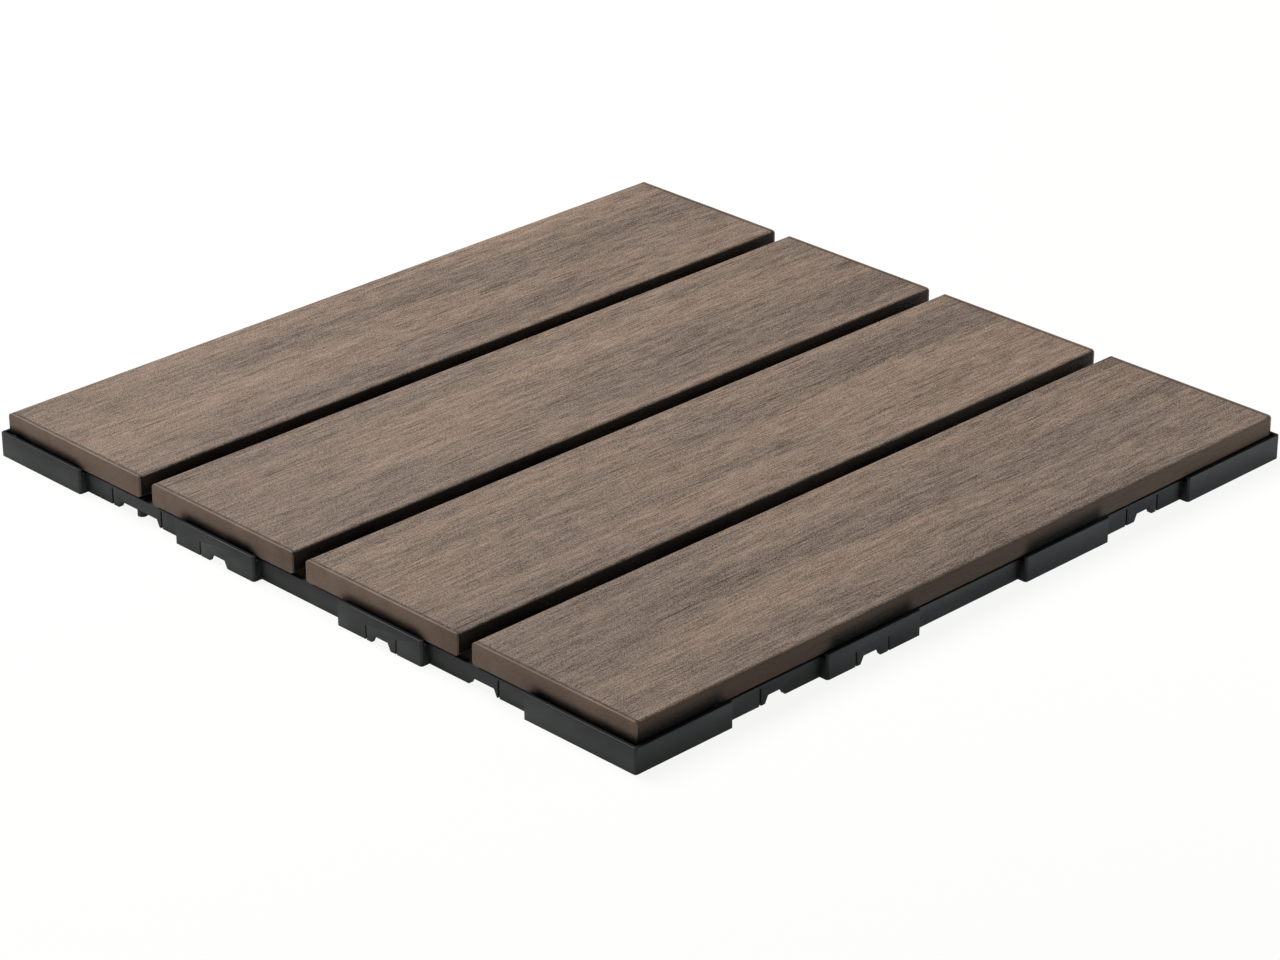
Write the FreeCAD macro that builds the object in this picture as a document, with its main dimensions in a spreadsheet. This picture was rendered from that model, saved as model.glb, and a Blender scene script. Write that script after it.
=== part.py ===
import FreeCAD, Part
import os
import Sketcher

# Interlocking deck tile: a moulded base grid with latch tabs, and four boards screwed on from below.
# Frame: Z up, origin on the ground under the middle of the tile, boards along Y, placed along X.

# How many boards the tile has, how many ribs run along each board and its gap together,
# and how many run across in the same length.
BOARD_COUNT = 4
LONG_RIBS_PER_BOARD = 3
CROSS_RIBS_PER_BOARD = 2

# Driving sizes in millimetres: name and value.
SIZES = [
    # Boards
    ("slat_width", 69.0),
    ("slat_gap", 6.5),
    ("slat_thickness", 7.5),
    ("slat_edge_round", 1.2),
    ("slat_under_round", 1.0),
    ("slat_end_bevel", 0.8),
    ("edge_margin", 2.25),
    ("seat_height", 8.0),
    # Walls round the base
    ("outer_wall", 1.2),
    ("outer_wall_height", 8.7),
    ("outer_corner_round", 1.0),
    ("block_end_bevel", 0.6),
    ("web_thickness", 1.2),
    ("wall_inset", 3.3),
    ("inner_wall", 1.8),
    ("inner_wall_height", 6.8),
    # Standing blocks of the front and back edges, along X
    ("front_corner_block_left", 42.4),
    ("front_block_left_far", 58.5),
    ("front_block_left_near", 19.6),
    ("front_block_right_near", 19.9),
    ("front_block_right_far", 58.6),
    ("front_corner_block_right", 47.0),
    # Standing blocks of the two long sides, along Y
    ("side_corner_block_front", 40.2),
    ("side_block_front_far", 69.6),
    ("side_block_front_near", 28.0),
    ("side_block_rear_near", 21.2),
    ("side_block_rear_far", 61.8),
    ("side_corner_block_rear", 48.0),
    # Lattice
    ("rib_thickness", 1.8),
    ("rib_floor_gap", 2.5),
    ("long_rib_top", 6.5),
    ("foot_width", 8.0),
    ("foot_height", 3.0),
    # Screws and their bosses
    ("boss_width", 9.0),
    ("head_diameter", 6.4),
    ("head_height", 1.9),
    ("head_seat_gap", 0.05),
    ("screw_length", 11.0),
    ("shank_diameter", 3.0),
    ("shank_clearance", 0.5),
    ("pilot_clearance", 0.1),
    ("pilot_spare", 0.5),
    # Latches: the notch in the wall, the peg in it, the tab that a neighbour puts over the peg
    ("notch_height", 2.5),
    ("notch_flare", 1.3),
    ("peg_diameter", 3.4),
    ("peg_floor_gap", 0.2),
    ("peg_backing", 1.2),
    ("peg_clearance", 0.2),
    ("peg_slot_travel", 0.8),
    ("eye_wall", 1.3),
    ("joint_gap", 0.4),
    ("tab_clearance", 0.3),
    ("tab_thickness", 2.0),
    ("tab_corner_bevel", 1.6),
    ("slit_width", 0.8),
    ("slit_bridge", 0.8),
    ("slot_line_width", 0.6),
    ("slot_line_height", 5.0),
    # Latches of the front edge, measured along X from the middle of the edge
    ("front_latch_a", -81.05),
    ("front_latch_a_width", 20.9),
    ("front_latch_a_peg", -0.25),
    ("front_latch_a_slit_left", 3.0),
    ("front_latch_a_slit_right", 1.2),
    ("front_latch_b", -36.9),
    ("front_latch_b_width", 8.6),
    ("front_latch_b_slot_left", 4.6),
    ("front_latch_c", 40.3),
    ("front_latch_c_width", 8.6),
    ("front_latch_c_slot_left", 2.5),
    ("front_latch_c_slot_right", 2.6),
    ("front_latch_d", 82.1),
    ("front_latch_d_width", 12.2),
    ("front_latch_d_slit_right", 0.8),
    # Latches of the right-hand side, measured along Y from the middle of the edge
    ("side_latch_a", -88.8),
    ("side_latch_a_width", 8.6),
    ("side_latch_a_slit_left", 2.1),
    ("side_latch_b", -50.6),
    ("side_latch_b_width", 8.9),
    ("side_latch_b_slot_left", 2.0),
    ("side_latch_b_slot_right", 3.6),
    ("side_latch_c", 83.0),
    ("side_latch_c_width", 8.9),
    ("side_latch_c_slit_left", 4.1),
    ("side_latch_c_slit_right", 2.5),
]


def size(name):
    """Return the expression that reads one driving size."""
    return f"Sizes.{name}"


def total(*terms):
    """Return the expression that adds up its terms."""
    return "(" + " + ".join(terms) + ")"


def minus(term):
    """Return the expression of a term with its sign turned."""
    return f"(0 - {term})"


# Sizes that follow from the driving ones, as expressions
SLAT_PITCH = "(Sizes.slat_width + Sizes.slat_gap)"
BOARDS_WIDTH = f"({BOARD_COUNT} * {SLAT_PITCH} - Sizes.slat_gap)"
TILE_HALF = f"({BOARDS_WIDTH} / 2 + Sizes.edge_margin)"
SLAT_LENGTH = f"(2 * {TILE_HALF} - 2 * Sizes.edge_margin)"
INNER_FACE = f"({TILE_HALF} - Sizes.wall_inset)"
RIB_END = f"({INNER_FACE} - Sizes.inner_wall / 2)"
RIB_SPACE = f"({INNER_FACE} - Sizes.inner_wall)"
LONG_PITCH = f"({SLAT_PITCH} / {LONG_RIBS_PER_BOARD})"
LONG_EACH_WAY = f"floor({RIB_SPACE} / {LONG_PITCH})"
CROSS_PITCH = f"({SLAT_PITCH} / {CROSS_RIBS_PER_BOARD})"
CROSS_EACH_WAY = f"floor({RIB_SPACE} / {CROSS_PITCH})"
SCREW_ROW = f"({CROSS_EACH_WAY} * {CROSS_PITCH})"
SHANK_HOLE = "(Sizes.shank_diameter + 2 * Sizes.shank_clearance)"
HEAD_TOP = "(Sizes.rib_floor_gap - Sizes.head_seat_gap)"
HEAD_FACE = f"({HEAD_TOP} - Sizes.head_height)"
SCREW_TIP = f"({HEAD_TOP} + Sizes.screw_length)"
PEG_SETBACK = "(Sizes.wall_inset + Sizes.peg_diameter / 2)"
PEG_HOLE_RADIUS = "(Sizes.peg_diameter / 2 + Sizes.peg_clearance)"
TAB_INTO_NOTCH = f"({PEG_SETBACK} + {PEG_HOLE_RADIUS} + Sizes.eye_wall)"
THROUGH_WALLS = "(Sizes.wall_inset + Sizes.inner_wall)"
PAST_TILE = f"({TILE_HALF} + Sizes.wall_inset)"
PEG_HOLE_PLACE = f"({TILE_HALF} + Sizes.joint_gap + {PEG_SETBACK})"
TAB_TIP = f"({TILE_HALF} + Sizes.joint_gap + {TAB_INTO_NOTCH})"

os.makedirs("parts", exist_ok=True)
doc = FreeCAD.newDocument("DeckTile")
sheet = doc.addObject("Spreadsheet::Sheet", "Sizes")
for row, (alias, value) in enumerate(SIZES, 1):
    sheet.set(f"A{row}", alias)
    sheet.set(f"B{row}", str(value))
    sheet.setAlias(f"B{row}", alias)
doc.recompute()


def value_of(expression):
    """Work out an expression, for a sketch's first guess and for choosing edges."""
    return float(sheet.evalExpression(expression))


def origin_part(body, role):
    """Return the origin plane or axis of a body by its role."""
    return [part for part in body.Origin.OriginFeatures if part.Role == role][0]


def new_body(label):
    """Return an empty body with its label."""
    body = doc.addObject("PartDesign::Body", label)
    body.Label = label
    body.AllowCompound = True
    return body


def new_sketch(body, name, plane="XY_Plane", offset=None):
    """Return a sketch on an origin plane, raised along its normal by an expression."""
    sketch = body.newObject("Sketcher::SketchObject", name)
    sketch.AttachmentSupport = (origin_part(body, plane), [""])
    sketch.MapMode = "FlatFace"
    if offset is not None:
        sketch.setExpression("AttachmentOffset.Base.z", offset)
    return sketch


def bind(sketch, tag, kind, *args):
    """Add one constraint, the last argument an expression, and tie it to that expression."""
    *where, expression = args
    sketch.addConstraint(Sketcher.Constraint(kind, *where, value_of(expression)))
    place = sketch.ConstraintCount - 1
    sketch.renameConstraint(place, tag)
    sketch.setExpression(f"Constraints.{tag}", expression)


def outline(sketch, corners):
    """Draw a closed outline through corners, each an (x, y) pair of expressions."""
    points = [FreeCAD.Vector(value_of(x), value_of(y), 0) for x, y in corners]
    first = sketch.GeometryCount
    count = len(points)
    for place in range(count):
        sketch.addGeometry(Part.LineSegment(points[place], points[(place + 1) % count]), False)
    for place in range(count):
        follower = first + (place + 1) % count
        sketch.addConstraint(Sketcher.Constraint("Coincident", first + place, 2, follower, 1))
    for place, (x, y) in enumerate(corners):
        line = first + place
        bind(sketch, f"x_{line}", "DistanceX", -1, 1, line, 1, x)
        bind(sketch, f"y_{line}", "DistanceY", -1, 1, line, 1, y)


def rectangle(sketch, left, right, low, high):
    """Draw one rectangle between four expressions."""
    outline(sketch, [(left, low), (right, low), (right, high), (left, high)])


def circle(sketch, x, y, diameter):
    """Draw one circle by its centre and diameter."""
    centre = FreeCAD.Vector(value_of(x), value_of(y), 0)
    ring = sketch.addGeometry(Part.Circle(centre, FreeCAD.Vector(0, 0, 1), value_of(diameter) / 2), False)
    bind(sketch, f"x_{ring}", "DistanceX", -1, 1, ring, 3, x)
    bind(sketch, f"y_{ring}", "DistanceY", -1, 1, ring, 3, y)
    bind(sketch, f"d_{ring}", "Diameter", ring, diameter)


def obround(sketch, x, y, travel, radius):
    """Draw a slot of the given radius whose two centres lie left and right of a point."""
    ends = [(f"({x} + {travel})", y), (f"({x} - {travel})", y)]
    centres = [FreeCAD.Vector(value_of(end_x), value_of(end_y), 0) for end_x, end_y in ends]
    along = (centres[0] - centres[1]).normalize()
    across = FreeCAD.Vector(-along.y, along.x, 0) * value_of(radius)
    cap = along * value_of(radius)
    first = sketch.addGeometry(Part.Arc(centres[0] - across, centres[0] + cap, centres[0] + across), False)
    sketch.addGeometry(Part.LineSegment(centres[0] + across, centres[1] + across), False)
    sketch.addGeometry(Part.Arc(centres[1] + across, centres[1] - cap, centres[1] - across), False)
    sketch.addGeometry(Part.LineSegment(centres[1] - across, centres[0] - across), False)
    for place in range(4):
        follower = first + (place + 1) % 4
        sketch.addConstraint(Sketcher.Constraint("Tangent", first + place, 2, follower, 1))
    for arc, (end_x, end_y) in ((first, ends[0]), (first + 2, ends[1])):
        bind(sketch, f"x_{arc}", "DistanceX", -1, 1, arc, 3, end_x)
        bind(sketch, f"y_{arc}", "DistanceY", -1, 1, arc, 3, end_y)
    bind(sketch, f"r_{first}", "Radius", first, radius)


def finish(body, feature):
    """Make a feature the body's tip and bring the document up to date."""
    body.Tip = feature
    doc.recompute()
    return feature


def pad(body, name, sketch, length):
    """Raise a sketch along its normal."""
    feature = body.newObject("PartDesign::Pad", name)
    feature.Profile = sketch
    feature.setExpression("Length", length)
    return finish(body, feature)


def pocket(body, name, sketch, depth, upward=False):
    """Cut a sketch into the body, and stop if the cut takes nothing away."""
    before = body.Shape.Volume
    feature = body.newObject("PartDesign::Pocket", name)
    feature.Profile = sketch
    feature.Reversed = upward
    feature.setExpression("Length", depth)
    finish(body, feature)
    if not feature.Shape.Volume < before:
        raise RuntimeError(f"{name} cuts nothing")
    return feature


def mirrored(body, name, original, plane):
    """Repeat a feature on the other side of an origin plane."""
    feature = body.newObject("PartDesign::Mirrored", name)
    feature.Originals = [original]
    feature.MirrorPlane = (origin_part(body, plane), [""])
    return finish(body, feature)


def row_of(body, name, originals, axis, spacing, count):
    """Repeat features along one origin axis."""
    feature = body.newObject("PartDesign::LinearPattern", name)
    feature.Originals = originals
    feature.Direction = (origin_part(body, axis), [""])
    feature.Mode = "Spacing"
    feature.setExpression("Offset", spacing)
    feature.setExpression("Occurrences", count)
    return finish(body, feature)


def grid_of(body, name, original, steps):
    """Repeat a feature along several axes in turn, each step an axis, a spacing and a count."""
    feature = body.newObject("PartDesign::MultiTransform", name)
    feature.Originals = [original]
    rows = []
    for number, (axis, spacing, count) in enumerate(steps, 1):
        row = body.newObject("PartDesign::LinearPattern", f"{name}_row_{number}")
        row.Direction = (origin_part(body, axis), [""])
        row.Mode = "Spacing"
        row.setExpression("Offset", spacing)
        row.setExpression("Occurrences", count)
        rows.append(row)
    feature.Transformations = rows
    return finish(body, feature)


def revolved(body, name, sketch):
    """Turn a sketch once round its first construction line."""
    feature = body.newObject("PartDesign::Revolution", name)
    feature.Profile = sketch
    feature.ReferenceAxis = (sketch, ["Axis0"])
    feature.Angle = 360
    return finish(body, feature)


def turning_line(sketch, x):
    """Draw the upright construction line that a profile turns round."""
    place = value_of(x)
    ends = FreeCAD.Vector(place, 0, 0), FreeCAD.Vector(place, 1, 0)
    line = sketch.addGeometry(Part.LineSegment(*ends), True)
    sketch.addConstraint(Sketcher.Constraint("Vertical", line))
    bind(sketch, "axis_x", "DistanceX", -1, 1, line, 1, x)
    sketch.addConstraint(Sketcher.Constraint("DistanceY", -1, 1, line, 1, 0))
    sketch.addConstraint(Sketcher.Constraint("DistanceY", line, 1, line, 2, 1))


def edges_where(shape, test):
    """Return the names of the edges whose two ends both pass a test."""
    names = []
    for number, edge in enumerate(shape.Edges, 1):
        if all(test(vertex.Point, edge) for vertex in edge.Vertexes):
            names.append(f"Edge{number}")
    return names


def runs_along(edge, axis):
    """Tell whether an edge is a straight line along x, y or z."""
    if edge.Curve.TypeId != "Part::GeomLine":
        return False
    return abs(getattr(edge.Curve.Direction, axis)) > 0.99


def dressed(body, kind, name, source, edges, prop, expression):
    """Round or bevel the named edges of a feature."""
    feature = body.newObject(f"PartDesign::{kind}", name)
    feature.Base = (source, edges)
    feature.setExpression(prop, expression)
    return finish(body, feature)


def near(one, other):
    """Tell whether two lengths are the same."""
    return abs(one - other) < 1e-4


# Base grid: outer wall, standing as blocks between recesses
walls = new_body("walls")
plan = new_sketch(walls, "outer_wall_plan")
rectangle(plan, minus(TILE_HALF), TILE_HALF, minus(TILE_HALF), TILE_HALF)
OUTER_WALL_FACE = f"({TILE_HALF} - Sizes.outer_wall)"
rectangle(plan, minus(OUTER_WALL_FACE), OUTER_WALL_FACE, minus(OUTER_WALL_FACE), OUTER_WALL_FACE)
wall = pad(walls, "outer_wall", plan, size("outer_wall_height"))
half = value_of(TILE_HALF)
corner_edges = edges_where(
    wall.Shape, lambda p, edge: runs_along(edge, "z") and near(abs(p.x), half) and near(abs(p.y), half)
)
wall = dressed(walls, "Fillet", "outer_corners", wall, corner_edges, "Radius", size("outer_corner_round"))

# The recesses are cut right across: opposite edges have one outline, and neighbours meet block to block
front_recesses = [
    (f"({minus(TILE_HALF)} + Sizes.front_corner_block_left)", minus(size("front_block_left_far"))),
    (minus(size("front_block_left_near")), size("front_block_right_near")),
    (size("front_block_right_far"), f"({TILE_HALF} - Sizes.front_corner_block_right)"),
]
side_recesses = [
    (f"({minus(TILE_HALF)} + Sizes.side_corner_block_front)", minus(size("side_block_front_far"))),
    (minus(size("side_block_front_near")), size("side_block_rear_near")),
    (size("side_block_rear_far"), f"({TILE_HALF} - Sizes.side_corner_block_rear)"),
]
plan = new_sketch(walls, "front_recess_plan")
for start, end in front_recesses:
    rectangle(plan, start, end, minus(PAST_TILE), PAST_TILE)
pocket(walls, "front_recesses", plan, size("outer_wall_height"), upward=True)
plan = new_sketch(walls, "side_recess_plan")
for start, end in side_recesses:
    rectangle(plan, minus(PAST_TILE), PAST_TILE, start, end)
wall = pocket(walls, "side_recesses", plan, size("outer_wall_height"), upward=True)
block_ends = edges_where(
    wall.Shape,
    lambda p, edge: runs_along(edge, "z")
    and (near(abs(p.x), half) or near(abs(p.y), half))
    and max(abs(p.x), abs(p.y)) - min(abs(p.x), abs(p.y)) > value_of(size("wall_inset")),
)
dressed(walls, "Chamfer", "block_end_bevels", wall, block_ends, "Size", size("block_end_bevel"))



def webs_beside(recesses):
    """Return the two sides of the web before and of the web after each recess."""
    webs = []
    for start, end in recesses:
        webs.append((f"({start} - Sizes.web_thickness)", start))
        webs.append((end, f"({end} + Sizes.web_thickness)"))
    return webs


# Inner wall under the edge of the boards, carried on to the outer wall at the corners
plan = new_sketch(walls, "inner_wall_plan")
INNER_WALL_BACK = f"({INNER_FACE} - Sizes.inner_wall)"
rectangle(plan, minus(INNER_FACE), INNER_FACE, minus(INNER_FACE), INNER_FACE)
rectangle(plan, minus(INNER_WALL_BACK), INNER_WALL_BACK, minus(INNER_WALL_BACK), INNER_WALL_BACK)
pad(walls, "inner_wall", plan, size("inner_wall_height"))
INNER_WALL_MIDDLE = f"({INNER_FACE} - Sizes.inner_wall / 2)"

# Webs that close both ends of each block, and ties from the inner wall to the outer wall at the corners
plan = new_sketch(walls, "front_web_plan")
for left, right in webs_beside(front_recesses):
    rectangle(plan, left, right, minus(OUTER_WALL_FACE), minus(INNER_WALL_MIDDLE))
webs = pad(walls, "front_webs", plan, size("inner_wall_height"))
mirrored(walls, "rear_webs", webs, "XZ_Plane")
plan = new_sketch(walls, "side_web_plan")
for left, right in webs_beside(side_recesses):
    rectangle(plan, INNER_WALL_MIDDLE, OUTER_WALL_FACE, left, right)
for near_side, far_side in ((minus(INNER_FACE), minus(INNER_WALL_BACK)), (INNER_WALL_BACK, INNER_FACE)):
    rectangle(plan, INNER_WALL_MIDDLE, OUTER_WALL_FACE, near_side, far_side)
webs = pad(walls, "side_webs", plan, size("inner_wall_height"))
mirrored(walls, "far_side_webs", webs, "YZ_Plane")

# Latches of the front edge and of the right-hand side, and where those with a peg have it
front_latches = ["front_latch_a", "front_latch_b", "front_latch_c", "front_latch_d"]
side_latches = ["side_latch_a", "side_latch_b", "side_latch_c"]
pegs = {
    "front_latch_a": total(size("front_latch_a"), size("front_latch_a_peg")),
    "front_latch_b": size("front_latch_b"),
    "front_latch_c": size("front_latch_c"),
    "side_latch_b": size("side_latch_b"),
}


def notch_edge(latch, side):
    """Return the expression of a notch's lower left (-1) or lower right (1) corner."""
    return f"(Sizes.{latch} + {side} * Sizes.{latch}_width / 2)"


def notches(sketch, latches):
    """Draw the notches of one edge, wider at the floor than at the top."""
    for latch in latches:
        left, right = notch_edge(latch, -1), notch_edge(latch, 1)
        outline(sketch, [
            (left, "0"),
            (right, "0"),
            (f"({right} - Sizes.notch_flare)", size("notch_height")),
            (f"({left} + Sizes.notch_flare)", size("notch_height")),
        ])


def slits(sketch, beside):
    """Draw upright slits: each its notch, the side of it, the gap to it, the slit's width and height."""
    for latch, side, gap, width, height in beside:
        middle = f"({notch_edge(latch, side)} + {side} * Sizes.{latch}_{gap})"
        left, right = f"({middle} - Sizes.{width} / 2)", f"({middle} + Sizes.{width} / 2)"
        rectangle(sketch, left, right, "0", height)


# A slit parts a recess wall up to a narrow bridge at its top, a slot line only the foot of a block
FULL_SLIT = ("slit_width", "(Sizes.inner_wall_height - Sizes.slit_bridge)")
SLOT_LINE = ("slot_line_width", "Sizes.slot_line_height")
front_slits = [
    ("front_latch_a", -1, "slit_left", *FULL_SLIT),
    ("front_latch_a", 1, "slit_right", *FULL_SLIT),
    ("front_latch_b", -1, "slot_left", *SLOT_LINE),
    ("front_latch_c", -1, "slot_left", *SLOT_LINE),
    ("front_latch_c", 1, "slot_right", *SLOT_LINE),
    ("front_latch_d", 1, "slit_right", *FULL_SLIT),
]
side_slits = [
    ("side_latch_a", -1, "slit_left", *FULL_SLIT),
    ("side_latch_b", -1, "slot_left", *SLOT_LINE),
    ("side_latch_b", 1, "slot_right", *SLOT_LINE),
    ("side_latch_c", -1, "slit_left", *FULL_SLIT),
    ("side_latch_c", 1, "slit_right", *FULL_SLIT),
]
plan = new_sketch(walls, "front_latch_profile", plane="XZ_Plane", offset=TILE_HALF)
notches(plan, front_latches)
slits(plan, front_slits)
pocket(walls, "front_latch_openings", plan, THROUGH_WALLS)
plan = new_sketch(walls, "side_latch_profile", plane="YZ_Plane", offset=TILE_HALF)
notches(plan, side_latches)
slits(plan, side_slits)
pocket(walls, "side_latch_openings", plan, THROUGH_WALLS)

# Pegs that hang in the notches, each from a thicker stretch of the inner wall
PEG_PLACE = f"({TILE_HALF} - {PEG_SETBACK})"
BACKING_HALF = "(Sizes.peg_diameter / 2 + Sizes.peg_backing)"
BACKING_BACK = f"({PEG_PLACE} - {BACKING_HALF})"
plan = new_sketch(walls, "peg_backing_plan", offset=size("notch_height"))
for latch, place in pegs.items():
    along = (f"({place} - {BACKING_HALF})", f"({place} + {BACKING_HALF})")
    if latch in front_latches:
        rectangle(plan, *along, minus(INNER_FACE), minus(BACKING_BACK))
    else:
        rectangle(plan, BACKING_BACK, INNER_FACE, *along)
pad(walls, "peg_backings", plan, "Sizes.inner_wall_height - Sizes.notch_height")
plan = new_sketch(walls, "peg_plan", offset=size("peg_floor_gap"))
for latch, place in pegs.items():
    if latch in front_latches:
        circle(plan, place, minus(PEG_PLACE), size("peg_diameter"))
    else:
        circle(plan, PEG_PLACE, place, size("peg_diameter"))
PEG_TOP = "((Sizes.notch_height + Sizes.inner_wall_height) / 2)"
pad(walls, "pegs", plan, f"{PEG_TOP} - Sizes.peg_floor_gap")


def tab_sides(latch):
    """Return the two sides of the tab that fits a latch's notch with its clearance."""
    inset = "(Sizes.notch_flare + Sizes.tab_clearance)"
    return f"({notch_edge(latch, -1)} + {inset})", f"({notch_edge(latch, 1)} - {inset})"


# Tabs on the two far edges, each in line with the notch that a neighbour brings to it
plan = new_sketch(walls, "tab_plan", offset=size("peg_floor_gap"))
for latch in front_latches:
    rectangle(plan, *tab_sides(latch), INNER_WALL_MIDDLE, TAB_TIP)
for latch in side_latches:
    rectangle(plan, minus(TAB_TIP), minus(INNER_WALL_MIDDLE), *tab_sides(latch))
tabs = pad(walls, "tabs", plan, size("tab_thickness"))
tip = value_of(TAB_TIP)
tab_corners = edges_where(
    tabs.Shape, lambda p, edge: runs_along(edge, "z") and (near(p.y, tip) or near(p.x, -tip))
)
dressed(walls, "Chamfer", "tab_corners", tabs, tab_corners, "Size", size("tab_corner_bevel"))
plan = new_sketch(walls, "peg_hole_plan", offset=size("peg_floor_gap"))
for latch in ("front_latch_b", "front_latch_c"):
    circle(plan, pegs[latch], PEG_HOLE_PLACE, f"2 * {PEG_HOLE_RADIUS}")
obround(plan, pegs["front_latch_a"], PEG_HOLE_PLACE, size("peg_slot_travel"), PEG_HOLE_RADIUS)
circle(plan, minus(PEG_HOLE_PLACE), pegs["side_latch_b"], f"2 * {PEG_HOLE_RADIUS}")
pocket(walls, "peg_holes", plan, size("tab_thickness"), upward=True)

# Feet under every second crossing of the ribs
lattice = new_body("lattice")
FEET_EACH_WAY = f"floor({RIB_SPACE} / (2 * {LONG_PITCH}))"
FIRST_FOOT = f"({minus(FEET_EACH_WAY)} * 2 * {LONG_PITCH})"
ROWS_EACH_WAY = f"floor({RIB_SPACE} / (2 * {CROSS_PITCH}))"
FIRST_FOOT_ROW = f"({minus(ROWS_EACH_WAY)} * 2 * {CROSS_PITCH})"
FOOT_HALF = "(Sizes.foot_width / 2)"
plan = new_sketch(lattice, "foot_plan")
rectangle(
    plan,
    f"({FIRST_FOOT} - {FOOT_HALF})",
    f"({FIRST_FOOT} + {FOOT_HALF})",
    f"({FIRST_FOOT_ROW} - {FOOT_HALF})",
    f"({FIRST_FOOT_ROW} + {FOOT_HALF})",
)
foot = pad(lattice, "foot", plan, size("foot_height"))
grid_of(lattice, "feet", foot, [
    ("X_Axis", f"2 * {LONG_PITCH}", f"2 * {FEET_EACH_WAY} + 1"),
    ("Y_Axis", f"2 * {CROSS_PITCH}", f"2 * {ROWS_EACH_WAY} + 1"),
])

# A screw boss under each end of each board, on its middle line and on the last rib across
FIRST_BOARD = f"((1 - {BOARD_COUNT}) / 2 * {SLAT_PITCH})"
BOSS_HALF = "(Sizes.boss_width / 2)"
plan = new_sketch(lattice, "boss_plan", offset=size("rib_floor_gap"))
rectangle(
    plan,
    f"({FIRST_BOARD} - {BOSS_HALF})",
    f"({FIRST_BOARD} + {BOSS_HALF})",
    f"({minus(SCREW_ROW)} - {BOSS_HALF})",
    f"({minus(SCREW_ROW)} + {BOSS_HALF})",
)
boss = pad(lattice, "boss", plan, "Sizes.seat_height - Sizes.rib_floor_gap")
grid_of(lattice, "bosses", boss, [
    ("X_Axis", SLAT_PITCH, str(BOARD_COUNT)),
    ("Y_Axis", f"2 * {SCREW_ROW}", "2"),
])

# Lattice: lower ribs along the boards, and taller ribs across that carry them
RIB_HALF = "(Sizes.rib_thickness / 2)"
plan = new_sketch(lattice, "long_rib_plan", offset=size("rib_floor_gap"))
FIRST_LONG_RIB = f"({minus(LONG_EACH_WAY)} * {LONG_PITCH})"
long_sides = (f"({FIRST_LONG_RIB} - {RIB_HALF})", f"({FIRST_LONG_RIB} + {RIB_HALF})")
rectangle(plan, *long_sides, minus(RIB_END), RIB_END)
rib = pad(lattice, "long_rib", plan, "Sizes.long_rib_top - Sizes.rib_floor_gap")
row_of(lattice, "long_ribs", [rib], "X_Axis", LONG_PITCH, f"2 * {LONG_EACH_WAY} + 1")
plan = new_sketch(lattice, "cross_rib_plan", offset=size("rib_floor_gap"))
cross_sides = (f"({minus(SCREW_ROW)} - {RIB_HALF})", f"({minus(SCREW_ROW)} + {RIB_HALF})")
rectangle(plan, minus(RIB_END), RIB_END, *cross_sides)
rib = pad(lattice, "cross_rib", plan, "Sizes.seat_height - Sizes.rib_floor_gap")
row_of(lattice, "cross_ribs", [rib], "Y_Axis", CROSS_PITCH, f"2 * {CROSS_EACH_WAY} + 1")

# Holes for the screws, right through the bosses
plan = new_sketch(lattice, "screw_hole_plan", offset=size("rib_floor_gap"))
for number in range(BOARD_COUNT):
    for row in (minus(SCREW_ROW), SCREW_ROW):
        circle(plan, f"({FIRST_BOARD} + {number} * {SLAT_PITCH})", row, SHANK_HOLE)
pocket(lattice, "screw_holes", plan, "Sizes.seat_height - Sizes.rib_floor_gap", upward=True)

# The walls and the lattice are one moulding
base_grid = doc.addObject("Part::MultiFuse", "base_grid")
base_grid.Shapes = [walls, lattice]
base_grid.Refine = False

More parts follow.
